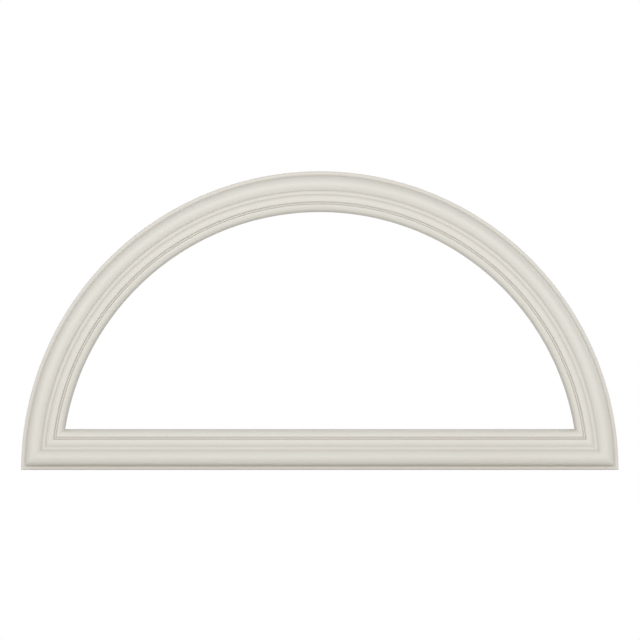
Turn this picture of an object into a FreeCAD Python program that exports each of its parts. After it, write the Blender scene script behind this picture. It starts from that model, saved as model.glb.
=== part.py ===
import FreeCAD, Part
import math
import os
import Sketcher
from FreeCAD import Placement, Rotation, Vector

# A half-round door light frame in moulded plastic: two mitred half-round mouldings that clamp
# the door leaf and the glass between them, screwed together from the back.
# The front face looks along -Y, X runs to the right, Z is up. The origin lies on the door's
# front skin, at the arc's centre, which is the middle of the frame's bottom edge.
# In a section, "inset" is the distance in from the outer edge, and "rise" the height above the
# door skin; what goes into the door has a negative rise.

# Driving dimensions in millimetres, angles in degrees
SIZES = {
    "frame_radius": 301.625,
    "face_width": 41.275,
    "door_thickness": 44.45,
    "glass_thickness": 25.4,
    "cutout_inset": 15.875,
    "glass_inset": 22.225,
    "wall": 2.4,
    "lip_thickness": 2.4,
    "lip_break": 0.7,
    "foot_inset": 4.6,
    "foot_rise": 4.9,
    "roll_radius": 8.2,
    "quirk_inset": 19.1,
    "step_draft": 0.25,
    "fillet_rise": 9.0,
    "cove_inset": 22.4,
    "band_inset": 24.3,
    "band_rise": 7.5,
    "bead_inset": 30.7,
    "bead_rise": 6.3,
    "bead_width": 1.8,
    "ovolo_inset": 34.0,
    "ovolo_rise": 5.2,
    "ovolo_radius": 6.1,
    "ovolo_sweep": 60.0,
    "reveal_depth": 3.0,
    "land_inset": 26.0,
    "land_draft": 1.5,
    "tape_thickness": 1.6,
    "tape_rib_inset": 30.6,
    "tape_margin": 0.4,
    "rib_thickness": 2.0,
    "rib_depth": 9.0,
    "screw_step": 38.0,
    "rail_pitch": 150.0,
    "screw_length": 50.8,
    "screw_radius": 1.4,
    "thread_clearance": 0.05,
    "head_radius": 3.45,
    "head_height": 2.5,
    "seat_rise": 5.0,
    "shank_clearance": 0.6,
    "boss_wall": 1.5,
    "boss_depth": 12.7,
    "pilot_spare": 2.0,
    "well_radius": 4.0,
    "well_wall": 1.5,
    "cap_thickness": 1.3,
    "cap_overlap": 1.4,
    "cap_leg": 1.2,
    "cap_stem": 4.0,
    "cap_clearance": 0.25,
    "round_error": 0.175,
    "bore_error": 0.2,
}
ARCH_SCREWS = range(-2, 3)
RAIL_SCREWS = range(-1, 2)


class Size:
    """A size worked out from the sheet: its value, and the same sum as an expression."""

    def __init__(self, value, text):
        self.value = value
        self.text = text

    @staticmethod
    def of(other):
        return other if isinstance(other, Size) else Size(other, repr(other))

    def join(self, other, sign, value):
        return Size(value, f"({self.text} {sign} {Size.of(other).text})")

    def __add__(self, other):
        return self.join(other, "+", self.value + Size.of(other).value)

    def __sub__(self, other):
        return self.join(other, "-", self.value - Size.of(other).value)

    def __mul__(self, other):
        return self.join(other, "*", self.value * Size.of(other).value)

    def __truediv__(self, other):
        return self.join(other, "/", self.value / Size.of(other).value)

    def __neg__(self):
        return self * -1.0

    def root(self):
        return Size(math.sqrt(self.value), f"sqrt({self.text})")

    def sine(self):
        return Size(math.sin(math.radians(self.value)), f"sin({self.text})")

    def cosine(self):
        return Size(math.cos(math.radians(self.value)), f"cos({self.text})")

    def arccosine(self):
        return Size(math.degrees(math.acos(self.value)), f"(acos({self.text}) / (1 deg))")


doc = FreeCAD.newDocument("door_light_frame")
sheet = doc.addObject("Spreadsheet::Sheet", "Sizes")
for row, (alias, number) in enumerate(SIZES.items(), start=1):
    sheet.set(f"A{row}", alias)
    sheet.set(f"B{row}", str(number))
    sheet.setAlias(f"B{row}", alias)
doc.recompute()
SIZE = {alias: Size(float(sheet.get(alias)), f"Sizes.{alias}") for alias in SIZES}
ZERO = Size(0.0, "0")

# Sizes that several pieces share
radius = SIZE["frame_radius"]
door = SIZE["door_thickness"]
wall = SIZE["wall"]
leg_depth = (door - SIZE["glass_thickness"]) / 2 - SIZE["tape_thickness"]
screw_inset = (SIZE["cutout_inset"] + SIZE["glass_inset"]) / 2
roll_inset = SIZE["foot_inset"] + SIZE["roll_radius"]
crest_rise = SIZE["foot_rise"] + SIZE["roll_radius"]
pilot_radius = SIZE["screw_radius"] + SIZE["thread_clearance"]
boss_radius = pilot_radius + SIZE["boss_wall"]
shank_hole_radius = SIZE["screw_radius"] + SIZE["shank_clearance"]
well_outer = SIZE["well_radius"] + SIZE["well_wall"]


def front_y(rise):
    """The Y of a rise above the door's front skin."""
    return -rise


def back_y(rise):
    """The Y of a rise above the door's back skin."""
    return door + rise


def bind(thing, name, size):
    """Sets a property or a named path to a size of the sheet."""
    thing.setExpression(name, size.text)


def arc_between(start, end, arc_radius):
    """An arc from one point to another, with its centre to the left."""
    half = (end - start) / 2
    left = Vector(-half.y, half.x, 0).normalize()
    reach = math.sqrt(max(arc_radius ** 2 - half.Length ** 2, 0.0))
    middle = start + half + left * (reach - arc_radius)
    return Part.Arc(start, middle, end)


def draw_outline(sketch, corners):
    """Draws a closed outline through corners (x, y) or (x, y, radius).

    A corner with a radius is reached by an arc, and every corner is tied to its two sizes.
    """
    first = sketch.GeometryCount
    points = [Vector(corner[0].value, corner[1].value, 0) for corner in corners]
    curves = []
    for number, corner in enumerate(corners):
        start, end = points[number - 1], points[number]
        if len(corner) > 2:
            curves.append(arc_between(start, end, corner[2].value))
        else:
            curves.append(Part.LineSegment(start, end))
    sketch.addGeometry(curves, False)
    drawn = sketch.Geometry[first:]
    constraints = []
    sizes = []
    for number, corner in enumerate(corners):
        after = (number + 1) % len(corners)
        tail = 2 if (drawn[number].EndPoint - points[number]).Length < 1e-4 else 1
        head = 1 if (drawn[after].StartPoint - points[number]).Length < 1e-4 else 2
        here = first + number
        constraints.append(Sketcher.Constraint("Coincident", here, tail, first + after, head))
        sizes.append(None)
        for kind, size in (("DistanceX", corner[0]), ("DistanceY", corner[1])):
            constraints.append(Sketcher.Constraint(kind, -1, 1, here, tail, size.value))
            sizes.append(size)
        if len(corner) > 2:
            constraints.append(Sketcher.Constraint("Radius", here, corner[2].value))
            sizes.append(corner[2])
    base = sketch.ConstraintCount
    sketch.addConstraint(constraints)
    for number, size in enumerate(sizes):
        if size is not None:
            sketch.setExpression(f"Constraints[{base + number}]", size.text)


def flat_count(turn, arc_radius, error):
    """How many equal flats draw a turn in degrees, none cutting in by more than the error."""
    flat = 2 * math.degrees(math.acos(1 - error / arc_radius))
    return math.ceil(abs(turn) / flat)


# Bars and bores all have as many sides, with corners on the X and Z axes, so they nest.
BAR_SIDES = 4 * flat_count(90.0, well_outer.value, SIZE["bore_error"].value)

# The mouldings' sections, as (inset, rise) corners. Their rounds are drawn as short flats.

def flats(centre, arc_radius, start, end, error):
    """Corners round an arc after its start, from one angle to another in degrees.

    Angle 0 points to the sight edge and 90 out of the face.
    """
    count = flat_count((end - start).value, arc_radius.value, error.value)
    corners = []
    for number in range(1, count + 1):
        angle = start + (end - start) * number / count
        corners.append((
            centre[0] + arc_radius * angle.cosine(),
            centre[1] + arc_radius * angle.sine(),
        ))
    return corners


def rim_profile():
    """The rim's lip and the foot of the roll, the same on both halves."""
    lip = SIZE["lip_thickness"]
    edge = SIZE["lip_break"]
    foot = SIZE["foot_inset"]
    return [
        (ZERO, ZERO),
        (ZERO, lip - edge),
        (edge, lip),
        (foot, lip),
        (foot, SIZE["foot_rise"]),
    ]


def sight_profile():
    """The ovolo, the sloping reveal and the leg at the sight edge, the same on both halves."""
    ovolo = (SIZE["ovolo_inset"], SIZE["ovolo_rise"] - SIZE["ovolo_radius"])
    top = ZERO + 90.0
    end = top - SIZE["ovolo_sweep"]
    rounded = flats(ovolo, SIZE["ovolo_radius"], top, end, SIZE["round_error"])
    width = SIZE["face_width"]
    return [
        (SIZE["ovolo_inset"], SIZE["ovolo_rise"]),
        *rounded,
        (width, -SIZE["reveal_depth"]),
        (width, -leg_depth),
    ]


def front_face():
    """The photographed face: lip, roll, fillet, band, bead, ovolo and reveal."""
    draft = SIZE["step_draft"]
    quirk = SIZE["quirk_inset"]
    bead = SIZE["bead_inset"]
    bead_end = bead + SIZE["bead_width"]
    roll_centre = (roll_inset, SIZE["foot_rise"])
    half_turn = ZERO + 180.0
    quirk_angle = ((quirk - roll_inset) / SIZE["roll_radius"]).arccosine()
    return [
        *rim_profile(),
        *flats(roll_centre, SIZE["roll_radius"], half_turn, quirk_angle, SIZE["round_error"]),
        (quirk + draft, SIZE["fillet_rise"]),
        (SIZE["cove_inset"], SIZE["fillet_rise"]),
        (SIZE["band_inset"], SIZE["band_rise"]),
        (bead - draft, SIZE["band_rise"]),
        (bead, SIZE["bead_rise"]),
        (bead_end, SIZE["bead_rise"]),
        (bead_end + draft, SIZE["ovolo_rise"]),
        *sight_profile(),
    ]


def back_face():
    """The inner half's face: the roll's outer quarter, then a flat land for the screw caps."""
    roll_centre = (roll_inset, SIZE["foot_rise"])
    half_turn = ZERO + 180.0
    crest = half_turn / 2
    draft = SIZE["step_draft"]
    return [
        *rim_profile(),
        *flats(roll_centre, SIZE["roll_radius"], half_turn, crest, SIZE["round_error"]),
        (SIZE["land_inset"], crest_rise),
        (SIZE["land_inset"] + SIZE["land_draft"], SIZE["band_rise"]),
        (SIZE["bead_inset"] - draft, SIZE["band_rise"]),
        (SIZE["bead_inset"], SIZE["ovolo_rise"]),
        *sight_profile(),
    ]


def sight_core():
    """The back of the sight edge: the leg's inside and the rib that backs the tape."""
    width = SIZE["face_width"]
    tape_rib = SIZE["tape_rib_inset"]
    rib = SIZE["rib_thickness"]
    ceiling = SIZE["ovolo_rise"] - wall
    return [
        (width - wall, -leg_depth),
        (width - wall, -SIZE["reveal_depth"]),
        (SIZE["ovolo_inset"] + wall, ceiling),
        (tape_rib + rib, ceiling),
        (tape_rib + rib, -leg_depth),
        (tape_rib, -leg_depth),
    ]


def front_core():
    """The hollow back of the outer half: the tape rib, the rib in the door's cut-out, the roll."""
    ceiling = SIZE["band_rise"] - wall
    core = SIZE["roll_radius"] - wall
    rib_in = screw_inset + SIZE["rib_thickness"] / 2
    rib_out = screw_inset - SIZE["rib_thickness"] / 2
    start = ((rib_out - roll_inset) / core).arccosine()
    roll_end = SIZE["foot_rise"] + core * start.sine()
    return [
        *sight_core(),
        (SIZE["tape_rib_inset"], ceiling),
        (rib_in, ceiling),
        (rib_in, -SIZE["rib_depth"]),
        (rib_out, -SIZE["rib_depth"]),
        (rib_out, roll_end),
        *flats((roll_inset, SIZE["foot_rise"]), core, start, ZERO + 180.0, wall / 2),
        (SIZE["foot_inset"] + wall, ZERO),
    ]


def back_core():
    """The hollow back of the inner half: the tape rib, the land and the roll's quarter."""
    ceiling = crest_rise - wall
    core = SIZE["roll_radius"] - wall
    quarter = ZERO + 90.0
    return [
        *sight_core(),
        (SIZE["tape_rib_inset"], SIZE["band_rise"] - wall),
        (SIZE["land_inset"], SIZE["band_rise"] - wall),
        (SIZE["land_inset"] - wall + SIZE["land_draft"] / 2, ceiling),
        (roll_inset, ceiling),
        *flats((roll_inset, SIZE["foot_rise"]), core, quarter, quarter * 2, wall / 2),
        (SIZE["foot_inset"] + wall, ZERO),
    ]


# Where the screws stand

class Station:
    """One screw's place: its number, X and Z."""

    def __init__(self, number, x, z):
        self.number = number
        self.x = x
        self.z = z


def stations():
    """The screws, evenly stepped about the arch's crown and along the bottom rail."""
    found = []
    line = radius - screw_inset
    for step in ARCH_SCREWS:
        turn = ZERO + 90.0 - SIZE["screw_step"] * step
        found.append(Station(len(found) + 1, line * turn.cosine(), line * turn.sine()))
    for step in RAIL_SCREWS:
        found.append(Station(len(found) + 1, SIZE["rail_pitch"] * step, screw_inset))
    return found


STATIONS = stations()


def place(thing, x, y, z):
    """Binds a piece's place to three sizes."""
    for axis, size in zip("xyz", (x, y, z)):
        bind(thing, f"Placement.Base.{axis}", size)


def round_bar(name, half_radius, low, high, station=None):
    """A bar along Y from one Y to another, on the Y axis or at a station, round but for its flats."""
    bar = doc.addObject("Part::Prism", name)
    bar.Polygon = BAR_SIDES
    bind(bar, "Circumradius", half_radius)
    bind(bar, "Height", high - low)
    bar.Placement = Placement(Vector(0, 0, 0), Rotation(Vector(1, 0, 0), -90))
    if station is None:
        place(bar, ZERO, low, ZERO)
    else:
        place(bar, station.x, low, station.z)
    return bar


def section(name, outline, to_y):
    """A moulding's section at the right end of the arch, where inset runs towards the centre."""
    sketch = doc.addObject("Sketcher::SketchObject", name)
    draw_outline(sketch, [(radius - inset, to_y(rise)) for inset, rise in outline])
    return sketch


def arch_run(name, profile):
    """The section turned half a turn about the arch's centre."""
    run = doc.addObject("Part::Revolution", name)
    run.Source = profile
    run.Axis = Vector(0, -1, 0)
    run.Angle = 180
    run.Solid = True
    return run


def rail_run(name, profile):
    """The section carried straight along the bottom edge."""
    run = doc.addObject("Part::Extrusion", name)
    run.Base = profile
    run.DirMode = "Custom"
    run.Dir = Vector(0, 0, 1)
    run.Solid = True
    run.Symmetric = True
    bind(run, "LengthFwd", radius * 2)
    run.Placement = Placement(Vector(0, 0, 0), Rotation(Vector(0, 1, 0), 90))
    bind(run, "Placement.Base.z", radius)
    return run


def mitre_prism():
    """Everything nearer to the arch's outer edge than to the bottom edge.

    Points as far from an arc as from a straight line lie on a parabola, so the mitre where the
    two equal sections meet is a piece of one: z = r / 2 - x * x / (2 * r).
    """
    r = radius.value
    reach = r + wall.value
    drop = r / 2 - reach * reach / (2 * r)
    top = r + wall.value
    depth = 4 * SIZE["door_thickness"].value
    curve = Part.Parabola(Vector(0, 0, 0), Vector(0, 0, r / 2), Vector(0, 1, 0))
    ends = sorted(curve.parameter(Vector(x, 0, drop)) for x in (-reach, reach))
    edge = Part.ArcOfParabola(curve, ends[0], ends[1]).toShape()
    left, right = edge.Vertexes[0].Point, edge.Vertexes[-1].Point
    lid = Part.makePolygon([right, Vector(right.x, 0, top), Vector(left.x, 0, top), left])
    region = Part.Face(Part.Wire([edge] + lid.Edges))
    prism = doc.addObject("Part::Feature", "mitre_prism")
    prism.Shape = region.extrude(Vector(0, depth, 0))
    prism.Placement = Placement(Vector(0, -depth / 2, 0), Rotation())
    return prism


def boolean(kind, name, base, tool):
    """A cut or a common of two shapes."""
    result = doc.addObject(f"Part::{kind}", name)
    result.Base = base
    result.Tool = tool
    return result


def fused(name, shapes):
    """One solid of several shapes."""
    result = doc.addObject("Part::MultiFuse", name)
    result.Shapes = shapes
    return result


MITRE = mitre_prism()


def mitred_moulding(name, outline, to_y):
    """The arch and the bottom rail of one section, each cut to the mitre."""
    profile = section(f"{name}_section", outline, to_y)
    arch = boolean("Common", f"{name}_arch", arch_run(f"{name}_arch_run", profile), MITRE)
    rail = boolean("Cut", f"{name}_rail", rail_run(f"{name}_rail_run", profile), MITRE)
    return [arch, rail]


# The two halves of the frame

def finish_node(thing, label):
    """Names the finished object; its label names its file."""
    thing.Label = label
    return thing


def front_frame():
    """The outer half, with blind screw bosses on its hollow back."""
    parts = mitred_moulding("front", front_face() + front_core(), front_y)
    tip = front_y(-SIZE["boss_depth"])
    root = front_y(SIZE["band_rise"] - wall / 2)
    pilot_end = back_y(SIZE["seat_rise"]) - SIZE["screw_length"] - SIZE["pilot_spare"]
    bores = []
    for station in STATIONS:
        number = station.number
        parts.append(round_bar(f"front_boss_{number}", boss_radius, root, tip, station))
        bores.append(round_bar(
            f"front_pilot_{number}", pilot_radius, pilot_end, tip + wall, station))
    body = fused("front_body", parts)
    holes = fused("front_pilots", bores)
    return finish_node(boolean("Cut", "front_frame", body, holes), "front_frame")


def back_frame():
    """The inner half, with a well and a clear hole for each screw in its land."""
    parts = mitred_moulding("back", back_face() + back_core(), back_y)
    seat = back_y(SIZE["seat_rise"])
    land = back_y(crest_rise)
    floor = seat - wall
    bores = []
    for station in STATIONS:
        number = station.number
        parts.append(round_bar(
            f"back_tower_{number}", well_outer, floor, land - wall / 2, station))
        bores.append(round_bar(
            f"back_well_{number}", SIZE["well_radius"], seat, land + wall, station))
        bores.append(round_bar(
            f"back_hole_{number}", shank_hole_radius, floor - wall, seat + wall, station))
    body = fused("back_body", parts)
    holes = fused("back_holes", bores)
    return finish_node(boolean("Cut", "back_frame", body, holes), "back_frame")


# Strips that lie between the frame, the door and the glass

def half_round(inset):
    """A half-round outline at an inset: its flat bottom and its arch."""
    arch = radius - inset
    half = (arch * arch - inset * inset).root()
    return [(half, inset), (-half, inset, arch)]


def strip(label, outer_inset, inner_inset, low, high):
    """A flat half-round strip between two insets, from one Y to another."""
    body = doc.addObject("PartDesign::Body", f"{label}_body")
    sketch = body.newObject("Sketcher::SketchObject", f"{label}_outline")
    plane = [p for p in body.Origin.OriginFeatures if p.Role == "XZ_Plane"][0]
    sketch.AttachmentSupport = [(plane, "")]
    sketch.MapMode = "FlatFace"
    draw_outline(sketch, half_round(outer_inset))
    draw_outline(sketch, half_round(inner_inset))
    pad = body.newObject("PartDesign::Pad", f"{label}_pad")
    pad.Profile = sketch
    pad.Reversed = True
    bind(pad, "Length", high - low)
    bind(body, "Placement.Base.y", low)
    return finish_node(body, label)


def glazing_tape(label, low, high):
    """The foam tape that beds the glass on the leg and the tape rib."""
    outer = SIZE["tape_rib_inset"] + SIZE["tape_margin"]
    inner = SIZE["face_width"] - SIZE["tape_margin"]
    return strip(label, outer, inner, low, high)


# Screws and caps

def screw(station):
    """A pan head screw whose head sits on the well's floor; its point is in the front boss."""
    label = f"screw_{station.number:02d}"
    shank = round_bar(f"{label}_shank", SIZE["screw_radius"], -SIZE["screw_length"], ZERO)
    head = round_bar(f"{label}_head", SIZE["head_radius"], ZERO, SIZE["head_height"])
    whole = fused(label, [shank, head])
    place(whole, station.x, back_y(SIZE["seat_rise"]), station.z)
    return finish_node(whole, label)


def screw_cap(station):
    """A flat cap over a well, with a cross of four legs that grips the well's wall."""
    label = f"screw_cap_{station.number:02d}"
    rim = SIZE["well_radius"] + SIZE["cap_overlap"]
    pieces = [round_bar(f"{label}_disc", rim, ZERO, SIZE["cap_thickness"])]
    half = SIZE["well_radius"] - SIZE["cap_clearance"]
    for axis, along, across, side in (("x", "Length", "z", "Height"), ("z", "Height", "x", "Length")):
        leg = doc.addObject("Part::Box", f"{label}_leg_{axis}")
        bind(leg, along, half * 2)
        bind(leg, side, SIZE["cap_leg"])
        bind(leg, "Width", SIZE["cap_stem"])
        bind(leg, f"Placement.Base.{axis}", -half)
        bind(leg, f"Placement.Base.{across}", -SIZE["cap_leg"] / 2)
        bind(leg, "Placement.Base.y", -SIZE["cap_stem"])
        pieces.append(leg)
    whole = fused(label, pieces)
    place(whole, station.x, back_y(crest_rise), station.z)
    return finish_node(whole, label)


front_tape_y = front_y(-leg_depth)
back_tape_y = back_y(-leg_depth)
nodes = [
    front_frame(),
    back_frame(),
    glazing_tape("front_glazing_tape", front_tape_y, front_tape_y + SIZE["tape_thickness"]),
    glazing_tape("back_glazing_tape", back_tape_y - SIZE["tape_thickness"], back_tape_y),
]
for station in STATIONS:
    nodes.append(screw(station))
    nodes.append(screw_cap(station))

doc.recompute()

# Checks before anything is written
for thing in doc.Objects:
    if "Invalid" in thing.State or "Error" in thing.State:
        raise RuntimeError(f"{thing.Name} did not build: {thing.State}")
for node in nodes:
    if node.Shape.isNull() or not node.Shape.isValid() or len(node.Shape.Solids) != 1:
        raise RuntimeError(f"{node.Label} is not one sound solid")

os.makedirs("parts", exist_ok=True)
for node in nodes:
    node.Shape.exportStep(f"parts/{node.Label}.step")
    print(node.Label, round(node.Shape.Volume), len(node.Shape.Faces))
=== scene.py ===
import logging
import math
from dataclasses import dataclass, field
from enum import Enum
from typing import Any, Iterable, Sequence

import bpy
import numpy as np
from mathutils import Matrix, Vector


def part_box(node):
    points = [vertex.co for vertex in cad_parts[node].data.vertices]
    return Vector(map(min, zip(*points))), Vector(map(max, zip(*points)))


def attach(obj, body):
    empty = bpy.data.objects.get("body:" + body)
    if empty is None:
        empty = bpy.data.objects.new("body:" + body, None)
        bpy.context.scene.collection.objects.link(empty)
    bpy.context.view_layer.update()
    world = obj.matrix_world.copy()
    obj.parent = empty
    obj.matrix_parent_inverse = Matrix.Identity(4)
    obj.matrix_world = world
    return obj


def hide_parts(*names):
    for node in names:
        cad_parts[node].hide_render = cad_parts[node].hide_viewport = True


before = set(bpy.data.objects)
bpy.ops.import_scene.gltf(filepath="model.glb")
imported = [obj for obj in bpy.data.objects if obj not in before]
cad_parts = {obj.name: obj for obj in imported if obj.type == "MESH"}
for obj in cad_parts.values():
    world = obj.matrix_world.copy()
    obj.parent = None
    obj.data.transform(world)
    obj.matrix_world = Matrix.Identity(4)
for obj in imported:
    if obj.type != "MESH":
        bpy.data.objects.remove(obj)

# A half-round door light frame without door leaf or glass: two mitred mouldings, a foam tape
# on each, and screws under snap-in caps.
# Lengths in the dataclasses are millimetres; every mesh is in metres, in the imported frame:
# X to the right, Z up, -Y out of the photographed face, the origin at the arch's centre.

MM = 0.001
BODY = "root"
WHITE = (1.0, 1.0, 1.0, 1.0)
NOISE_ROUGHNESS = 0.55
# In millimetres: a side over LONG_SIDE gets a point FLAT_GUARD from each end.
LONG_SIDE = 0.6
FLAT_GUARD = 0.12
# The share of the reach at which a groove counts as fully hidden.
FULL_DEPTH = 0.6
log = logging.getLogger("door_light_frame")


class Side(Enum):
    """Which half of the frame a piece belongs to."""

    OUTER = "front"
    INNER = "back"


class Slot(Enum):
    """The record's material slots."""

    MOULDING = "moulding"
    TAPE = "tape"
    SCREW = "screw"


# Shader maths

class Term:
    """A shader socket that Python's operators extend with Math nodes."""

    def __init__(self, graph: "Graph", socket: Any) -> None:
        """Holds a socket of a graph.

        Args:
            graph: the graph that new nodes go into.
            socket: the output socket to read.
        """
        self.graph = graph
        self.socket = socket

    def calculate(self, operation: str, *terms: Any) -> "Term":
        """Adds one Math node.

        Args:
            operation: the node's operation, such as MULTIPLY.
            terms: its inputs, as terms or numbers.

        Returns:
            The node's result.
        """
        sockets = dict(enumerate(terms))
        return self.graph.node("ShaderNodeMath", {"operation": operation}, sockets)

    def __add__(self, other: Any) -> "Term":
        """This plus other."""
        return self.calculate("ADD", self, other)

    def __radd__(self, other: Any) -> "Term":
        """Other plus this."""
        return self.calculate("ADD", other, self)

    def __sub__(self, other: Any) -> "Term":
        """This minus other."""
        return self.calculate("SUBTRACT", self, other)

    def __rsub__(self, other: Any) -> "Term":
        """Other minus this."""
        return self.calculate("SUBTRACT", other, self)

    def __mul__(self, other: Any) -> "Term":
        """This times other."""
        return self.calculate("MULTIPLY", self, other)

    def __rmul__(self, other: Any) -> "Term":
        """Other times this."""
        return self.calculate("MULTIPLY", other, self)

    def maximum(self, other: Any) -> "Term":
        """The larger of this and other."""
        return self.calculate("MAXIMUM", self, other)


class Graph:
    """A material's or the world's node tree, filled one node at a time."""

    def __init__(self, owner: Any) -> None:
        """Clears an owner's node tree.

        Args:
            owner: a material or a world.
        """
        owner.use_nodes = True
        self.tree = owner.node_tree
        self.tree.nodes.clear()

    def node(self, kind: str, settings: dict[str, Any], inputs: dict[Any, Any],
             output: int | str = 0) -> Term:
        """Adds a node, sets it up and fills its inputs.

        Args:
            kind: the node's type.
            settings: attributes of the node, set first.
            inputs: what each input socket, by name or number, takes: a term or a value.
            output: the output socket that the result reads.

        Returns:
            The output as a term.
        """
        made = self.tree.nodes.new(kind)
        for name, value in settings.items():
            setattr(made, name, value)
        for name, value in inputs.items():
            if isinstance(value, Term):
                self.tree.links.new(value.socket, made.inputs[name])
            else:
                made.inputs[name].default_value = value
        socket = made.outputs[output] if len(made.outputs) else None
        return Term(self, socket)

    def place(self) -> Term:
        """The point on the piece, in the piece's own coordinates."""
        return self.node("ShaderNodeTexCoord", {}, {}, "Object")

    def attribute(self, name: str) -> Term:
        """A number that the mesh holds at each point."""
        settings = {"attribute_type": "GEOMETRY", "attribute_name": name}
        return self.node("ShaderNodeAttribute", settings, {}, "Fac")

    def stretched(self, place: Term, scale: Sequence[float]) -> Term:
        """A place with each axis scaled by its own factor."""
        return self.node("ShaderNodeMapping", {}, {"Vector": place, "Scale": scale})

    def noise(self, place: Term, size: float, detail: float = 2.0) -> Term:
        """Soft noise between 0 and 1.

        Args:
            place: where it is read.
            size: the width of one patch in metres.
            detail: how many finer layers it has.

        Returns:
            The noise's value.
        """
        inputs = {
            "Vector": place, "Scale": 1.0 / size, "Detail": detail, "Roughness": NOISE_ROUGHNESS,
        }
        return self.node("ShaderNodeTexNoise", {}, inputs)

    def cells(self, place: Term, size: float) -> Term:
        """The distance to the nearest of many scattered points, about size metres apart."""
        return self.node("ShaderNodeTexVoronoi", {}, {"Vector": place, "Scale": 1.0 / size})

    def blend(self, share: Any, first: Any, second: Any) -> Term:
        """A colour between two colours.

        Args:
            share: how much of the second, from 0 to 1.
            first: the colour at share 0.
            second: the colour at share 1.

        Returns:
            The mixed colour.
        """
        settings = {"data_type": "RGBA", "blend_type": "MIX"}
        inputs = {0: share, 6: first, 7: second}
        return self.node("ShaderNodeMix", settings, inputs, 2)

    def bump(self, height: Term, depth: float, strength: float = 1.0) -> Term:
        """A normal pushed about by a height from 0 to 1, depth metres deep."""
        inputs = {"Height": height, "Distance": depth, "Strength": strength}
        return self.node("ShaderNodeBump", {}, inputs)

    def finish(self, shader: Term) -> None:
        """Sends a shader to the output of a material."""
        self.node("ShaderNodeOutputMaterial", {}, {"Surface": shader})


def linear(red: int, green: int, blue: int) -> tuple[float, float, float, float]:
    """A colour on a screen's scale of 0 to 255 as light, by the usual two-part curve.

    Args:
        red: the red part.
        green: the green part.
        blue: the blue part.

    Returns:
        The colour as linear red, green and blue, with an alpha of 1.
    """
    share = np.array([red, green, blue]) / 255.0
    light = np.where(share <= 0.04045, share / 12.92, ((share + 0.055) / 1.055) ** 2.4)
    return tuple(float(part) for part in light) + (1.0,)


# Finishes

@dataclass(frozen=True)
class MouldedPlastic:
    """Warm off-white moulded plastic with a satin skin.

    The colour drifts a little over the length of the piece, painted shade darkens the grooves and
    the sight edge, and a fine grain breaks up the gloss.
    """

    name: str = "moulded_plastic"
    colour: tuple = field(default_factory=lambda: linear(229, 226, 218))
    drift_colour: tuple = field(default_factory=lambda: linear(226, 222, 213))
    # Painted shade: the colour that grooves and the sight edge darken toward.
    painted_shade_colour: tuple = field(default_factory=lambda: linear(206, 201, 193))
    roughness: float = 0.42
    roughness_spread: float = 0.10
    drift_size: float = 0.11
    grain_size: float = 0.0007
    grain_depth: float = 0.000010
    grain_detail: float = 3.0
    flow_size: float = 0.018
    flow_depth: float = 0.00006
    groove_roughness: float = 0.15
    refraction: float = 1.46

    def build(self) -> bpy.types.Material:
        """Makes the material."""
        material = bpy.data.materials.new(self.name)
        graph = Graph(material)
        place = graph.place()
        drift = graph.noise(place, self.drift_size)
        grain = graph.noise(place, self.grain_size, self.grain_detail)
        flow = graph.noise(place, self.flow_size)
        body = graph.blend(drift, self.colour, self.drift_colour)
        # Painted shade: the groove attribute blends grooves and the sight edge toward the painted
        # shade colour; the same share also roughens them.
        groove = graph.attribute("groove")
        colour = graph.blend(groove, body, self.painted_shade_colour)
        roughness = self.roughness + (flow - 0.5) * self.roughness_spread
        roughness = roughness + groove * self.groove_roughness
        waves = graph.bump(flow, self.flow_depth)
        skin = graph.node("ShaderNodeBump", {}, {
            "Height": grain, "Distance": self.grain_depth, "Normal": waves,
        })
        shader = graph.node("ShaderNodeBsdfPrincipled", {}, {
            "Base Color": colour, "Roughness": roughness, "Normal": skin,
            "IOR": self.refraction,
        })
        graph.finish(shader)
        return material


@dataclass(frozen=True)
class ZincPlate:
    """Bright zinc plating on steel, with a faint warm bloom and fine drawing marks."""

    name: str = "zinc_plate"
    colour: tuple = field(default_factory=lambda: linear(196, 197, 196))
    bloom_colour: tuple = field(default_factory=lambda: linear(188, 184, 168))
    roughness: float = 0.30
    roughness_spread: float = 0.16
    bloom_size: float = 0.006
    mark_size: float = 0.0012
    mark_stretch: float = 9.0
    mark_depth: float = 0.00001
    mark_detail: float = 3.0

    def build(self) -> bpy.types.Material:
        """Makes the material."""
        material = bpy.data.materials.new(self.name)
        graph = Graph(material)
        place = graph.place()
        bloom = graph.noise(place, self.bloom_size)
        along = graph.stretched(place, (1.0, self.mark_stretch, 1.0))
        marks = graph.noise(along, self.mark_size, self.mark_detail)
        colour = graph.blend(bloom, self.colour, self.bloom_colour)
        roughness = self.roughness + (marks - 0.5) * self.roughness_spread
        shader = graph.node("ShaderNodeBsdfPrincipled", {}, {
            "Base Color": colour, "Roughness": roughness, "Metallic": 1.0,
            "Normal": graph.bump(marks, self.mark_depth),
        })
        graph.finish(shader)
        return material


@dataclass(frozen=True)
class ClosedCellFoam:
    """Light grey foam tape whose cells show as shallow dimples, each with painted shade in its
    middle.
    """

    name: str = "closed_cell_foam"
    colour: tuple = field(default_factory=lambda: linear(205, 203, 198))
    dimple_shade_colour: tuple = field(default_factory=lambda: linear(178, 176, 171))
    roughness: float = 0.85
    cell_size: float = 0.0009
    cell_depth: float = 0.00012

    def build(self) -> bpy.types.Material:
        """Makes the material."""
        material = bpy.data.materials.new(self.name)
        graph = Graph(material)
        place = graph.place()
        cells = graph.cells(place, self.cell_size)
        # Painted shade: darker toward each cell's middle, where its dimple is deepest.
        colour = graph.blend(cells, self.dimple_shade_colour, self.colour)
        shader = graph.node("ShaderNodeBsdfPrincipled", {}, {
            "Base Color": colour, "Roughness": self.roughness,
            "Normal": graph.bump(cells, self.cell_depth),
        })
        graph.finish(shader)
        return material


# Surfaces

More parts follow.
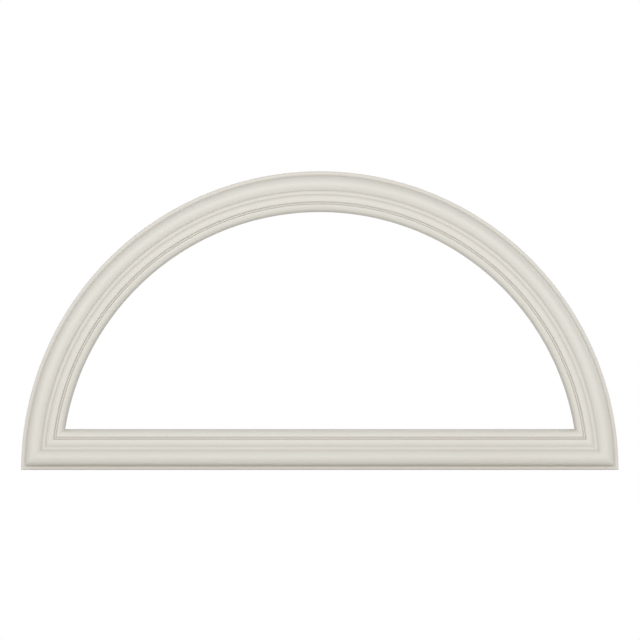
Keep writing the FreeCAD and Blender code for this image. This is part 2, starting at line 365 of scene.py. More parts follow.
@dataclass
class Surface:
    """A closed shell of points in metres, with four-sided and three-sided faces.

    Groove says for each point how much painted shade it gets, from 0 to 1, and edges are rows of
    point pairs that stay sharp when the shell is shaded smooth.
    """

    points: np.ndarray
    quads: np.ndarray
    triangles: np.ndarray = field(default_factory=lambda: np.zeros((0, 3), int))
    groove: np.ndarray | None = None
    edges: np.ndarray = field(default_factory=lambda: np.zeros((0, 2), int))

    def volume(self) -> float:
        """The volume, as the sum over all faces of the boxes that their corners span."""
        q, t = self.quads, self.triangles
        faces = np.concatenate([q[:, [0, 1, 2]], q[:, [0, 2, 3]], t])
        a, b, c = (self.points[faces[:, corner]] for corner in range(3))
        return float(np.einsum("ij,ij->", a, np.cross(b, c))) / 6

    def outward(self) -> "Surface":
        """The same shell with its faces turned to point out."""
        if self.volume() < 0:
            self.quads = self.quads[:, ::-1]
            self.triangles = self.triangles[:, ::-1]
        return self

    @staticmethod
    def joined(shells: Iterable["Surface"]) -> "Surface":
        """Several shells as one, each numbered on from the last.

        Args:
            shells: the shells.

        Returns:
            One surface that holds them all.
        """
        shells = list(shells)
        starts = np.cumsum([0] + [len(shell.points) for shell in shells[:-1]])
        grooves = [np.zeros(len(s.points)) if s.groove is None else s.groove for s in shells]
        quads, triangles, edges = (
            np.concatenate([getattr(shell, part) + start for shell, start in zip(shells, starts)])
            for part in ("quads", "triangles", "edges"))
        points = np.concatenate([shell.points for shell in shells])
        return Surface(points, quads, triangles, np.concatenate(grooves), edges)

    def mesh(self, name: str, crease: float) -> bpy.types.Mesh:
        """Makes the mesh, smooth but for its creases.

        Args:
            name: the mesh's name.
            crease: faces that meet at more than this angle, in degrees, keep a sharp edge.

        Returns:
            The mesh.
        """
        mesh = bpy.data.meshes.new(name)
        mesh.from_pydata(self.points, [], self.quads.tolist() + self.triangles.tolist())
        mesh.polygons.foreach_set("use_smooth", np.ones(len(mesh.polygons), bool))
        mesh.set_sharp_from_angle(angle=math.radians(crease))
        if len(self.edges):
            ends = np.zeros(len(mesh.edges) * 2, int)
            mesh.edges.foreach_get("vertices", ends)
            size = len(self.points)
            found = np.sort(ends.reshape(-1, 2), axis=1) @ [size, 1]
            wanted = np.sort(self.edges, axis=1) @ [size, 1]
            sharp = np.zeros(len(mesh.edges), bool)
            mesh.attributes["sharp_edge"].data.foreach_get("value", sharp)
            sharp |= np.isin(found, wanted)
            mesh.attributes["sharp_edge"].data.foreach_set("value", sharp)
        # The groove attribute carries each point's share of painted shade to the material.
        if self.groove is not None:
            held = mesh.attributes.new("groove", "FLOAT", "POINT")
            held.data.foreach_set("value", self.groove.astype(np.float32))
        mesh.update()
        return mesh


def grid_faces(rows: int, columns: int, wrap: bool) -> np.ndarray:
    """The faces of a grid of points, numbered row by row.

    Args:
        rows: how many rows of points; the last joins the first where wrap is true.
        columns: how many points a row has; the last always joins the first.
        wrap: whether the rows close on themselves.

    Returns:
        Four point numbers a face.
    """
    row = np.arange(rows if wrap else rows - 1)[:, None]
    column = np.arange(columns)[None, :]
    below = (row + 1) % rows
    beside = (column + 1) % columns
    corners = [row * columns + column, row * columns + beside,
               below * columns + beside, below * columns + column]
    return np.stack([corner.ravel() for corner in corners], axis=1)


def round_arc(centre: Sequence[float], radius: float, start: float, end: float,
              step: float = 5.0) -> np.ndarray:
    """Points on an arc: the centre plus the radius at evenly stepped angles.

    Args:
        centre: the arc's centre, as inset and rise.
        radius: its radius.
        start: the first angle in degrees; 0 points to the sight edge and 90 out of the face.
        end: the last angle.
        step: the largest angle between two points.

    Returns:
        Rows of inset, rise and softening radius, which is 0 on an arc.
    """
    count = max(2, math.ceil(abs(end - start) / step) + 1)
    angle = np.radians(np.linspace(start, end, count))
    return np.stack([centre[0] + radius * np.cos(angle), centre[1] + radius * np.sin(angle),
                     np.zeros(count)], axis=1)


def softened(corners: np.ndarray, steps: int = 5) -> np.ndarray:
    """A closed outline whose corners are rounded, each by its own radius.

    At each corner the arc touches both sides: it starts at radius / tan(half the corner's
    angle) from the corner, and its points are the two touching radii blended by sines.
    A long side gets a point close to each of its ends, so that it is shaded flat.

    Args:
        corners: rows of inset, rise and radius.
        steps: how many points an arc has.

    Returns:
        Rows of inset and rise.
    """
    place, radius = corners[:, :2], corners[:, 2]
    before = np.roll(place, 1, axis=0) - place
    after = np.roll(place, -1, axis=0) - place
    before /= np.linalg.norm(before, axis=1, keepdims=True)
    after /= np.linalg.norm(after, axis=1, keepdims=True)
    half = np.arccos(np.clip((before * after).sum(axis=1), -1, 1)) / 2
    reach = np.where(radius > 0, radius / np.tan(half), 0.0)[:, None]
    middle = before + after
    middle /= np.maximum(np.linalg.norm(middle, axis=1, keepdims=True), 1e-9)
    centre = place + middle * (radius / np.sin(half))[:, None]
    first = place + before * reach - centre
    last = place + after * reach - centre
    turn = np.maximum(np.pi - 2 * half, 1e-6)[:, None, None]
    share = np.linspace(0, 1, steps)[None, :, None]
    swept = (np.sin((1 - share) * turn) * first[:, None] + np.sin(share * turn) * last[:, None])
    rounded = np.where((radius > 0)[:, None, None], centre[:, None] + swept / np.sin(turn),
                       place[:, None])
    outline = rounded.reshape(-1, 2)
    outline = outline[np.linalg.norm(outline - np.roll(outline, 1, axis=0), axis=1) > 1e-5]
    side = np.roll(outline, -1, axis=0) - outline
    length = np.linalg.norm(side, axis=1, keepdims=True)
    guard = FLAT_GUARD * side / length
    trio = np.stack([outline, outline + guard, outline + side - guard], axis=1)
    long = length > LONG_SIDE
    keep = np.concatenate([np.ones_like(long), long, long], axis=1)
    return trio.reshape(-1, 2)[keep.ravel()]


def groove_depth(outline: np.ndarray, reach: float) -> np.ndarray:
    """How hidden each point of a closed outline is, from 0 on a flat to 1 in a sharp groove.

    It compares the point's rise with the mean rise of the outline a reach away on both sides, and
    the result sets the painted shade in grooves.

    Args:
        outline: rows of inset and rise.
        reach: how far along the outline to look, in millimetres.

    Returns:
        One number a point.
    """
    side = np.linalg.norm(np.roll(outline, -1, axis=0) - outline, axis=1)
    along = np.concatenate([[0.0], np.cumsum(side)])
    total = along[-1]
    rise = np.append(outline[:, 1], outline[0, 1])
    here = along[:-1]
    left = np.interp((here - reach) % total, along, rise)
    right = np.interp((here + reach) % total, along, rise)
    return np.clip(((left + right) / 2 - outline[:, 1]) / (FULL_DEPTH * reach), 0, 1)


@dataclass
class Path:
    """The line that a section follows: the arch, then the straight bottom edge.

    At inset i the arch is a circle of radius R - i, and the bottom edge lies i above the
    frame's own. They meet at a distance i from both outlines, at an arch angle of
    arcsin(i / (R - i)), which is the mitre.
    """

    radius: float
    arch_steps: int = 264
    rail_steps: int = 12

    def carry(self, inset: np.ndarray, height: np.ndarray) -> np.ndarray:
        """Carries a section once round the frame.

        Args:
            inset: the section's insets in metres.
            height: its places along Y in metres.

        Returns:
            Points by step along the path, by point of the section, by axis.
        """
        circle = self.radius - inset
        lift = np.arcsin(inset / circle)
        share = np.linspace(0, 1, self.arch_steps + 1)[:, None]
        angle = lift + (np.pi - 2 * lift) * share
        across = circle * np.cos(lift)
        run = np.linspace(-1, 1, self.rail_steps + 1)[1:-1, None]
        x = np.concatenate([circle * np.cos(angle), across * run])
        edge = np.broadcast_to(inset, (len(run), len(inset)))
        z = np.concatenate([circle * np.sin(angle), edge])
        return np.stack([x, np.broadcast_to(height, x.shape), z], axis=2)

    def mitred(self, inset: np.ndarray, height: np.ndarray, groove: np.ndarray) -> Surface:
        """A shell of a section carried round the frame, with sharp mitres.

        Args:
            inset: the section's insets in metres.
            height: its places along Y in metres.
            groove: how much painted shade each point of the section gets.

        Returns:
            The shell.
        """
        points = self.carry(inset, height)
        rows, columns = points.shape[:2]
        column = np.arange(columns)
        ends = np.array([0, self.arch_steps])[:, None] * columns
        pairs = np.stack([ends + column, ends + (column + 1) % columns], axis=2)
        return Surface(
            points.reshape(-1, 3),
            grid_faces(rows, columns, True),
            groove=np.tile(groove, rows),
            edges=pairs.reshape(-1, 2),
        ).outward()


def ringed(radius: np.ndarray, height: np.ndarray, angle: np.ndarray,
           centre: Sequence[float]) -> np.ndarray:
    """Rings of points at (x + r cos a, y + h, z + r sin a) round a line along Y.

    Args:
        radius: the radii in metres.
        height: the heights along Y in metres.
        angle: the angles, along the other axis.
        centre: the line's X and Z, and the Y that heights start from, as (x, y, z).

    Returns:
        The points, row by row.
    """
    x = centre[0] + radius * np.cos(angle)
    z = centre[2] + radius * np.sin(angle)
    y = np.broadcast_to(centre[1] + height, x.shape)
    return np.stack([x, y, z], axis=2).reshape(-1, 3)


def turned(radius: np.ndarray, height: np.ndarray, centre: Sequence[float],
           segments: int = 32) -> Surface:
    """A shell turned about a line along Y, closed by a point at each end of its outline.

    The outline's first and last radius are 0.

    Args:
        radius: the outline's radii in metres.
        height: its heights along Y in metres.
        centre: the line's X and Z, and the Y that heights start from, as (x, y, z).
        segments: how many steps a turn has.

    Returns:
        The shell.
    """
    angle = np.linspace(0, 2 * np.pi, segments, endpoint=False)[None, :]
    rim = slice(1, -1)
    body = ringed(radius[rim, None], height[rim, None], angle, centre)
    poles = [[centre[0], centre[1] + height[end], centre[2]] for end in (0, -1)]
    rows = len(radius) - 2
    return capped(body, rows, segments, np.array(poles))


def capped(body: np.ndarray, rows: int, segments: int, poles: np.ndarray) -> Surface:
    """A tube of rows of points, closed by a fan to a pole at each end.

    Args:
        body: the points, row by row.
        rows: how many rows.
        segments: how many points a row has.
        poles: the first and the last pole.

    Returns:
        The shell.
    """
    column = np.arange(segments)
    beside = (column + 1) % segments
    size = rows * segments
    last = size - segments
    fans = np.concatenate([
        np.stack([np.full(segments, size), beside, column], axis=1),
        np.stack([np.full(segments, size + 1), last + column, last + beside], axis=1),
    ])
    points = np.concatenate([body, poles])
    return Surface(points, grid_faces(rows, segments, False), fans).outward()


def box_centre(node: str) -> tuple[float, float, float]:
    """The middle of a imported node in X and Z, with its lowest Y between them."""
    low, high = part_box(node)
    return (low.x + high.x) / 2, low.y, (low.z + high.z) / 2


def linked(name: str, data: Any) -> bpy.types.Object:
    """An object with a name and data, put into the scene."""
    made = bpy.data.objects.new(name, data)
    bpy.context.scene.collection.objects.link(made)
    return made


def add_piece(name: str, surface: Surface, material: bpy.types.Material,
              stands_for: Sequence[str], crease: float = 38.0) -> bpy.types.Object:
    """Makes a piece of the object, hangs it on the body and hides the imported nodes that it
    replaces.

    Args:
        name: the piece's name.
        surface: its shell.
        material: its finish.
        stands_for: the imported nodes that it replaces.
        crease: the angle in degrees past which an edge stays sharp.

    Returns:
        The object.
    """
    piece = linked(name, surface.mesh(name, crease))
    piece.data.materials.append(material)
    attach(piece, BODY)
    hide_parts(*stands_for)
    log.info("%s: %d points", name, len(surface.points))
    return piece


# The mouldings

@dataclass
class Moulding:
    """What both halves of the frame share: the section at the rim and at the sight edge.

    In a section, inset is the distance in from the outer edge and rise the height above the
    door's skin; what goes into the door has a negative rise.
    """

    side: Side
    door: float
    width: float = 41.275
    wall: float = 2.4
    lip: float = 2.4
    lip_round: float = 1.7
    foot: float = 4.6
    foot_cove: float = 1.7
    foot_rise: float = 4.9
    roll: float = 8.2
    band: float = 24.3
    band_rise: float = 7.5
    bead: float = 30.7
    ovolo: float = 34.0
    ovolo_rise: float = 5.2
    ovolo_round: float = 6.1
    ovolo_sweep: float = 60.0
    ovolo_lead: float = 4.0
    reveal: float = 3.0
    leg: float = 7.925
    tape_rib: float = 30.6
    rib: float = 2.0
    draft: float = 0.25
    hollow_step: float = 12.0
    soft: float = 0.28
    rim_soft: float = 0.2
    skirt_soft: float = 0.3
    rib_soft: float = 0.4
    root_soft: float = 0.5
    reveal_soft: float = 0.6
    # How far grooves are judged for painted shade, and the width and strength of the painted shade
    # band along the sight edge.
    groove_reach: float = 1.5
    edge_line: float = 2.2
    edge_shade: float = 0.75

    @property
    def crest(self) -> float:
        """The rise of the roll's crest."""
        return self.foot_rise + self.roll

    @property
    def roll_centre(self) -> tuple[float, float]:
        """The centre of the roll's round."""
        return self.foot + self.roll, self.foot_rise

    def rim(self) -> list[list[float]]:
        """The lip on the door and the foot of the roll."""
        return [
            [0.0, 0.0, self.rim_soft],
            [0.0, self.lip, self.lip_round],
            [self.foot, self.lip, self.foot_cove],
            [self.foot, self.foot_rise, 0.0],
        ]

    def sight(self) -> np.ndarray:
        """The ovolo, the sloping reveal, and the hollow leg with the rib behind the tape."""
        centre = (self.ovolo, self.ovolo_rise - self.ovolo_round)
        inner = self.width - self.wall
        ceiling = self.ovolo_rise - self.wall
        rib = self.tape_rib + self.rib
        return np.concatenate([
            round_arc(centre, self.ovolo_round, 90.0 + self.ovolo_lead, 90.0 - self.ovolo_sweep),
            np.array([
                [self.width, -self.reveal, self.soft],
                [self.width, -self.leg, self.rib_soft],
                [inner, -self.leg, self.rib_soft],
                [inner, -self.reveal, self.reveal_soft],
                [self.ovolo + self.wall, ceiling, self.reveal_soft],
                [rib, ceiling, self.root_soft],
                [rib, -self.leg, self.rib_soft],
                [self.tape_rib, -self.leg, self.rib_soft],
            ]),
        ])

    def hollow(self, start: float) -> np.ndarray:
        """The hollow behind the roll, from an angle in degrees round to the foot."""
        core = self.roll - self.wall
        arc = round_arc(self.roll_centre, core, start, 180.0, self.hollow_step)
        return np.concatenate([arc, [[self.foot + self.wall, 0.0, self.skirt_soft]]])

    def outline(self) -> np.ndarray:
        """The whole section as rows of inset, rise and softening radius."""
        raise NotImplementedError

    def height(self, rise: np.ndarray | float) -> np.ndarray | float:
        """The Y in metres of a rise above this half's skin of the door."""
        return -rise * MM if self.side is Side.OUTER else (self.door + rise) * MM

    def shell(self, path: Path) -> Surface:
        """The section carried round the frame, with painted shade in its grooves and at the sight
        edge.
        """
        section = softened(self.outline())
        inset = section[:, 0]
        # Painted shade: a band along the sight edge, darker toward the edge, joined with the
        # painted shade of the grooves.
        edge = np.clip(2 + 2 * (inset - self.width) / self.edge_line, 0, 1) * self.edge_shade
        groove = np.maximum(groove_depth(section, self.groove_reach), edge)
        return path.mitred(inset * MM, self.height(section[:, 1]), groove)


@dataclass
class OuterMoulding(Moulding):
    """The photographed half: lip, roll, fillet, band, bead and ovolo, with screw bosses behind."""

    quirk: float = 19.1
    fillet_rise: float = 9.0
    cove: float = 22.4
    band_round: float = 1.1
    bead_middle: float = 32.1
    bead_radius: float = 0.6
    bead_rise: float = 5.3
    groove_drop: float = 0.9
    groove_width: float = 0.35
    bead_ends: tuple = (165.0, 15.0)
    bead_step: float = 15.0
    groove_soft: float = 0.15
    cove_soft: float = 0.3
    band_soft: float = 0.6
    band_swell: float = 0.25
    swell_soft: float = 3.0
    screw_line: float = 19.05
    rib_depth: float = 9.0
    boss_radius: float = 2.95
    boss_depth: float = 12.7
    bore_radius: float = 1.45
    bore_end: float = 3.35
    boss_bevel: float = 0.4
    bore_bevel: float = 0.3

    def outline(self) -> np.ndarray:
        """The whole section as rows of inset, rise and softening radius."""
        cos_quirk = (self.quirk - self.roll_centre[0]) / self.roll
        quirk_angle = math.degrees(math.acos(cos_quirk))
        core = self.roll - self.wall
        rib_out = self.screw_line - self.rib / 2
        rib_in = self.screw_line + self.rib / 2
        hollow_angle = math.degrees(math.acos((rib_out - self.roll_centre[0]) / core))
        ceiling = self.band_rise - self.wall
        groove = self.bead_radius + self.groove_width
        face = np.array([
            [self.quirk + self.draft, self.fillet_rise, self.soft],
            [self.cove, self.fillet_rise, self.cove_soft],
            [self.band, self.band_rise, self.band_soft],
            [(self.band + self.bead) / 2, self.band_rise + self.band_swell, self.swell_soft],
            [self.bead - self.draft, self.band_rise, self.band_round],
            [self.bead_middle - groove, self.bead_rise, self.groove_soft],
        ])
        bead = round_arc((self.bead_middle, self.bead_rise), self.bead_radius, *self.bead_ends,
                         self.bead_step)
        gap = [[self.bead_middle + groove, self.bead_rise - self.groove_drop, self.groove_soft]]
        back = np.array([
            [self.tape_rib, ceiling, self.root_soft],
            [rib_in, ceiling, self.root_soft],
            [rib_in, -self.rib_depth, self.rib_soft],
            [rib_out, -self.rib_depth, self.rib_soft],
        ])
        return np.concatenate([
            self.rim(),
            round_arc(self.roll_centre, self.roll, 180.0, quirk_angle)[1:],
            face,
            bead,
            gap,
            self.sight(),
            back,
            self.hollow(hollow_angle),
        ])

    def boss(self, centre: tuple[float, float, float]) -> Surface:
        """A blind screw boss that stands on the hollow back.

        Args:
            centre: the screw's place.

        Returns:
            The boss as a turned shell.
        """
        root = -(self.band_rise - self.wall / 2)
        tip = self.boss_depth
        outer, bore, end = self.boss_radius, self.bore_radius, -self.bore_end
        cut, flare = self.boss_bevel, self.bore_bevel
        radius = [0, outer, outer, outer - cut, bore + flare, bore, bore, 0]
        height = [root, root, tip - cut, tip, tip, tip - flare, end, end]
        return turned(np.array(radius) * MM, np.array(height) * MM, (centre[0], 0.0, centre[2]))

    def build(self, path: Path, centres: Sequence[tuple], material: bpy.types.Material) -> None:
        """Makes the outer half.

        Args:
            path: the line round the frame.
            centres: where the screws stand.
            material: its finish.
        """
        shells = [self.shell(path)] + [self.boss(centre) for centre in centres]
        whole = Surface.joined(shells)
        add_piece("outer_moulding", whole, material, ["front_frame"])


@dataclass
class InnerMoulding(Moulding):
    """The half on the room side: the same rim and sight edge, with a land for the screw caps."""

    land: float = 26.0
    land_draft: float = 1.5
    land_soft: float = 0.8
    step_soft: float = 0.2
    seat_rise: float = 5.0
    tower_radius: float = 5.5
    well_radius: float = 4.0
    hole_radius: float = 2.0
    tower_bevel: float = 0.4
    tower_segments: int = 40

    def outline(self) -> np.ndarray:
        """The whole section as rows of inset, rise and softening radius."""
        ceiling = self.crest - self.wall
        low = self.band_rise - self.wall
        face = np.array([
            [self.land, self.crest, self.land_soft],
            [self.land + self.land_draft, self.band_rise, self.rib_soft],
            [self.bead - self.draft, self.band_rise, self.soft],
            [self.bead, self.ovolo_rise, self.step_soft],
        ])
        back = np.array([
            [self.tape_rib, low, self.root_soft],
            [self.land, low, self.rib_soft],
            [self.land - self.wall + self.land_draft / 2, ceiling, self.root_soft],
        ])
        return np.concatenate([
            self.rim(),
            round_arc(self.roll_centre, self.roll, 180.0, 90.0)[1:],
            face,
            self.sight(),
            back,
            self.hollow(90.0),
        ])

    def tower(self, centre: tuple[float, float, float]) -> Surface:
        """The well under a cap, with the floor that the screw's head sits on.

        Args:
            centre: the screw's place.

        Returns:
            The tower as a turned shell, with a clear hole for the shank in its floor.
        """
        top = self.crest - self.wall / 2
        floor = self.seat_rise - self.wall
        outer, well, hole = self.tower_radius, self.well_radius, self.hole_radius
        bevel = self.tower_bevel
        radius = np.array([outer, outer, well, well, hole, hole, outer - bevel])
        height = np.array([floor + bevel, top, top, self.seat_rise, self.seat_rise, floor, floor])
        angle = np.linspace(0, 2 * np.pi, self.tower_segments, endpoint=False)[:, None]
        points = ringed(radius * MM, self.height(height), angle, (centre[0], 0.0, centre[2]))
        return Surface(points, grid_faces(len(angle), len(radius), True)).outward()

    def build(self, path: Path, centres: Sequence[tuple], material: bpy.types.Material) -> None:
        """Makes the inner half.

        Args:
            path: the line round the frame.
            centres: where the screws stand.
            material: its finish.
        """
        shells = [self.shell(path)] + [self.tower(centre) for centre in centres]
        whole = Surface.joined(shells)
        add_piece("inner_moulding", whole, material, ["back_frame"])


@dataclass
class GlazingTape:
    """A foam tape with soft edges on the leg and the tape rib of one half."""

    node: str
    outer: float = 31.0
    inner: float = 40.875
    soft: float = 0.45

    def build(self, path: Path, material: bpy.types.Material) -> None:
        """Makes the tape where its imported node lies.

        Args:
            path: the line round the frame.
            material: its finish.
        """
        low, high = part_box(self.node)
        corners = np.array([
            [self.outer, low.y / MM, self.soft],
            [self.outer, high.y / MM, self.soft],
            [self.inner, high.y / MM, self.soft],
            [self.inner, low.y / MM, self.soft],
        ])
        section = softened(corners)
        shell = path.mitred(section[:, 0] * MM, section[:, 1] * MM, np.zeros(len(section)))
        add_piece(f"{self.node}_foam", shell, material, [self.node])


@dataclass
class PanHeadScrew:
    """A pan head screw with a cross recess, a plain shank and a rolled thread."""

    node: str
    head_radius: float = 3.45
    head_height: float = 2.5
    head_segments: int = 48
    under_shares: tuple = (0.3, 0.9)
    side_low: float = 0.25
    side_share: float = 0.45
    dome_share: float = 0.96
    dome_fall: float = 0.42
    dome_eye: float = 0.02
    dome_rows: int = 16
    core_radius: float = 1.4
    crest_radius: float = 1.95
    shank_rows: int = 230
    shank_segments: int = 20
    thread_pitch: float = 1.8
    thread_length: float = 30.0
    runout: float = 1.0
    ridge_half: float = 0.28
    ridge_power: float = 1.4
    fade_in: float = 3.0
    fade_out: float = 2.0
    tip_share: float = 0.25
    tip_length: float = 3.5
    tip_point: float = 0.2
    recess_reach: float = 1.9
    recess_width: float = 0.42
    recess_depth: float = 1.3
    recess_wall: float = 1.6
    recess_end: float = 4.0
    crease: float = 50.0

    def shank(self, centre: Sequence[float], length: float) -> Surface:
        """The shank from its tip up to the head, with its thread.

        At height h and turn a the radius is the core's plus the thread's depth times a ridge
        that peaks where h / pitch - a / (2 pi) is halfway between whole numbers; it fades in
        at the tip and out at the end of the thread.

        Args:
            centre: the tip's place.
            length: the shank's length in millimetres.

        Returns:
            The shank's shell.
        """
        rows, segments = self.shank_rows, self.shank_segments
        height = np.concatenate([np.linspace(0, self.thread_length, rows - 2),
                                 [self.thread_length + self.runout, length]])[:, None]
        angle = np.linspace(0, 2 * np.pi, segments, endpoint=False)[None, :]
        phase = (height / self.thread_pitch - angle / (2 * np.pi)) % 1.0
        ridge = np.clip(1 - np.abs(phase - 0.5) / self.ridge_half, 0, 1) ** self.ridge_power
        left = (self.thread_length - height) / self.fade_out
        fade = np.clip(height / self.fade_in, 0, 1) * np.clip(left, 0, 1)
        core = self.core_radius * np.clip(self.tip_share + height / self.tip_length, 0, 1)
        radius = core + (self.crest_radius - self.core_radius) * ridge * fade
        body = ringed(radius * MM, height * MM, angle, centre)
        poles = np.array([[centre[0], centre[1] - self.tip_point * MM, centre[2]],
                          [centre[0], centre[1] + length * MM, centre[2]]])
        return capped(body, rows, segments, poles)

    def head(self, centre: Sequence[float], seat: float) -> Surface:
        """The head: a flat underside, a short side and a shallow dome with a cross recess.

        The dome's height falls with the cube of the radius, and the recess is a depth times
        a soft cross, which is 1 where either |x| or |z| is under its half width.

        Args:
            centre: the screw's place.
            seat: the height of the head's underside above the tip, in metres.

        Returns:
            The head's shell.
        """
        segments = self.head_segments
        big, tall = self.head_radius, self.head_height
        dome = np.linspace(1, self.dome_eye, self.dome_rows)
        under = [big * share for share in self.under_shares]
        radius = np.concatenate([under + [big, big], big * self.dome_share * dome])
        height = np.concatenate([[0, 0, self.side_low, tall * self.side_share],
                                 tall * (1 - self.dome_fall * (self.dome_share * dome) ** 3)])
        angle = np.linspace(0, 2 * np.pi, segments, endpoint=False)[None, :]
        x = radius[:, None] * np.cos(angle)
        z = radius[:, None] * np.sin(angle)
        near = np.minimum(np.abs(x), np.abs(z)) / self.recess_width
        far = np.maximum(np.abs(x), np.abs(z)) / self.recess_reach
        cross = np.clip(self.recess_wall - near, 0, 1)
        cross = cross * np.clip((1 - far) * self.recess_end, 0, 1)
        on_dome = (np.arange(len(radius)) > 3)[:, None]
        y = height[:, None] - self.recess_depth * cross * on_dome
        base = centre[1] + seat
        body = np.stack([centre[0] + x * MM, base + y * MM, centre[2] + z * MM], axis=2)
        poles = np.array([[centre[0], base, centre[2]],
                          [centre[0], base + (tall - self.recess_depth) * MM, centre[2]]])
        return capped(body.reshape(-1, 3), len(radius), segments, poles)

    def build(self, material: bpy.types.Material) -> None:
        """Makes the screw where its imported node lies.

        Args:
            material: its finish.
        """
        centre = box_centre(self.node)
        low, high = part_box(self.node)
        seat = high.y - low.y - self.head_height * MM
        shells = [self.shank(centre, seat / MM), self.head(centre, seat)]
        whole = Surface.joined(shells)
        add_piece(f"{self.node}_threaded", whole, material, [self.node], self.crease)


@dataclass
class ScrewCap:
    """A domed snap-in cap with a rounded rim and a cross of gripping legs."""

    node: str
    radius: float = 5.4
    thickness: float = 1.3
    leg_reach: float = 3.7
    leg_half: float = 0.6
    leg_root: float = 0.3
    barb: float = 0.25
    barb_root: float = 1.4
    barb_tip: float = 0.9
    barb_soft: float = 0.15
    taper: float = 0.7
    tip_soft: float = 0.25
    edge: float = 0.9
    edge_steps: int = 8
    crown_fall: float = 0.13
    base_inset: float = 0.15
    base_lift: float = 0.12
    segments: int = 56

    def build(self, material: bpy.types.Material) -> None:
        """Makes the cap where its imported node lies.

        The dome's edge is a quarter round, and its top falls by a tenth with the square of the
        radius.

        Args:
            material: its finish.
        """
        low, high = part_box(self.node)
        seat = high.y - self.thickness * MM
        centre = ((low.x + high.x) / 2, seat, (low.z + high.z) / 2)
        turn = np.radians(np.linspace(0, 90, self.edge_steps))
        edge, fall = self.edge, self.crown_fall
        rim = self.radius - edge + edge * np.cos(turn)
        rise = self.thickness - edge - fall + edge * np.sin(turn)
        top = np.linspace(self.radius - edge, 0, self.edge_steps)[1:]
        crown = self.thickness - fall * (top / (self.radius - edge)) ** 2
        radius = np.concatenate([[0, self.radius - self.base_inset, self.radius], rim, top])
        height = np.concatenate([[0, 0, self.base_lift], rise, crown])
        disc = turned(radius * MM, height * MM, centre, self.segments)
        depth = (seat - low.y) / MM
        legs = [self.leg(centre, depth, along) for along in (0, 2)]
        add_piece(f"{self.node}_domed", Surface.joined([disc] + legs), material,
                  [self.node])

    def leg(self, centre: Sequence[float], depth: float, along: int) -> Surface:
        """One of the two crossed plates that grip the well, with a small barb near its tip.

        Args:
            centre: the cap's place.
            depth: how far the plate reaches into the well, in millimetres.
            along: the axis that it spans, 0 for X or 2 for Z.

        Returns:
            The plate as a section carried through its thickness.
        """
        reach = self.leg_reach
        half = np.array([[reach - self.barb, self.leg_root, 0.0],
                         [reach - self.barb, -depth + self.barb_root, self.barb_soft],
                         [reach, -depth + self.barb_tip, self.barb_soft],
                         [reach - self.taper, -depth, self.tip_soft]])
        outline = softened(np.concatenate([half, half[::-1] * [-1, 1, 1]]), 4)
        columns = len(outline)
        outline = np.concatenate([outline, [outline.mean(axis=0)]])
        points = np.zeros((2, columns + 1, 3))
        points[:, :, along] = outline[:, 0]
        points[:, :, 1] = outline[:, 1]
        points[:, :, 2 - along] = [[-self.leg_half], [self.leg_half]]
        points = points * MM + np.array(centre)
        return capped(points[:, :-1].reshape(-1, 3), 2, columns, points[:, -1])


# The room round the object

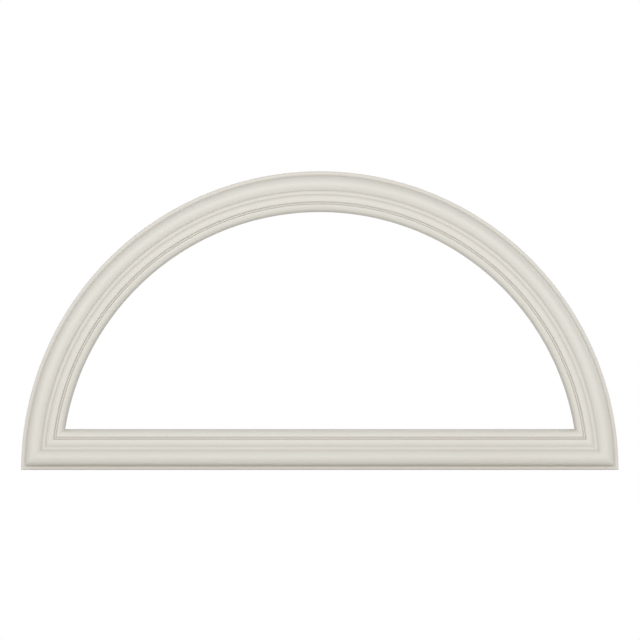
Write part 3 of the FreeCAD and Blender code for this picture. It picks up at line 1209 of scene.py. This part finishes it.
@dataclass
class Studio:
    """A pale floor, a white surrounding, soft lamps and a camera square to the face."""

    floor_drop: float = 0.0005
    floor_size: float = 14.0
    floor_colour: tuple = field(default_factory=lambda: linear(249, 249, 248))
    floor_glow: float = 0.55
    ambient: float = 0.50
    lamp_width: float = 6.0
    lamp_height: float = 1.7
    key_power: float = 62.0
    key_place: tuple = (-0.2, -3.0, 0.65)
    back_power: float = 46.0
    back_place: tuple = (1.2, 3.0, 1.6)
    view_width: float = 0.6463
    view_centre: tuple = (0.0002, 0.1514)
    camera_distance: float = 3.0

    def world(self) -> None:
        """White where the camera, a gloss or a glass sees it, and soft light for the rest."""
        world = bpy.data.worlds.new("studio")
        bpy.context.scene.world = world
        graph = Graph(world)
        ray = "ShaderNodeLightPath"
        camera = graph.node(ray, {}, {}, "Is Camera Ray")
        glossy = graph.node(ray, {}, {}, "Is Glossy Ray")
        through = graph.node(ray, {}, {}, "Is Transmission Ray")
        seen = camera.maximum(glossy).maximum(through)
        strength = self.ambient + seen * (1.0 - self.ambient)
        shader = graph.node("ShaderNodeBackground", {}, {"Color": WHITE, "Strength": strength})
        graph.node("ShaderNodeOutputWorld", {}, {"Surface": shader})

    def floor(self) -> None:
        """A pale floor under the object, which shows white to the camera and keeps shadows."""
        half = self.floor_size / 2
        mesh = bpy.data.meshes.new("floor")
        corners = [(-half, -half), (half, -half), (half, half), (-half, half)]
        mesh.from_pydata([(x, y, -self.floor_drop) for x, y in corners], [], [(0, 1, 2, 3)])
        floor = linked("floor", mesh)
        material = bpy.data.materials.new("floor_paint")
        graph = Graph(material)
        paint = graph.node("ShaderNodeBsdfDiffuse", {}, {"Color": self.floor_colour})
        glow = graph.node("ShaderNodeEmission", {}, {"Color": WHITE, "Strength": 1.0})
        camera = graph.node("ShaderNodeLightPath", {}, {}, "Is Camera Ray")
        share = camera * self.floor_glow
        shader = graph.node("ShaderNodeMixShader", {}, {0: share, 1: paint, 2: glow})
        graph.finish(shader)
        mesh.materials.append(material)

    def lamp(self, name: str, power: float, place: Sequence[float]) -> None:
        """A large soft lamp that faces the middle of the object.

        Args:
            name: the lamp's name.
            power: its power in watts.
            place: where it stands.
        """
        data = bpy.data.lights.new(name, "AREA")
        data.shape = "RECTANGLE"
        data.size = self.lamp_width
        data.size_y = self.lamp_height
        data.energy = power
        lamp = linked(name, data)
        lamp.location = place
        aim = Vector((0.0, 0.0, self.view_centre[1])) - Vector(place)
        lamp.rotation_euler = aim.to_track_quat("-Z", "Y").to_euler()

    def camera(self) -> None:
        """A camera with parallel rays, square to the face, framed as the photograph is."""
        data = bpy.data.cameras.new("camera")
        data.type = "ORTHO"
        data.ortho_scale = self.view_width
        camera = linked("camera", data)
        camera.location = (self.view_centre[0], -self.camera_distance, self.view_centre[1])
        camera.rotation_euler = (math.pi / 2, 0.0, 0.0)
        bpy.context.scene.camera = camera

    def build(self) -> None:
        """Makes the surroundings, the lamps and the camera."""
        self.world()
        self.floor()
        self.lamp("key", self.key_power, self.key_place)
        self.lamp("back", self.back_power, self.back_place)
        self.camera()
        bpy.context.scene.view_settings.view_transform = "Standard"


def main() -> None:
    """Builds the object piece by piece, then its surroundings."""
    logging.basicConfig(level=logging.INFO, format="%(message)s")
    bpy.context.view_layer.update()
    plastic = MouldedPlastic().build()
    zinc = ZincPlate().build()
    foam = ClosedCellFoam().build()
    outer_low, outer_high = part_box("front_frame")
    inner_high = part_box("back_frame")[1]
    crest = -outer_low.y / MM
    door = inner_high.y / MM - crest
    path = Path(radius=outer_high.x)
    caps = sorted(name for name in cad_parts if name.startswith("screw_cap_"))
    fixings = sorted(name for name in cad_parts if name.startswith("screw_"))
    screws = [name for name in fixings if name not in caps]
    centres = [box_centre(name) for name in screws]
    OuterMoulding(Side.OUTER, door).build(path, centres, plastic)
    InnerMoulding(Side.INNER, door).build(path, centres, plastic)
    for node in ("front_glazing_tape", "back_glazing_tape"):
        GlazingTape(node).build(path, foam)
    for node in screws:
        PanHeadScrew(node).build(zinc)
    for node in caps:
        ScrewCap(node).build(plastic)
    Studio().build()


if __name__ == "__main__":
    main()
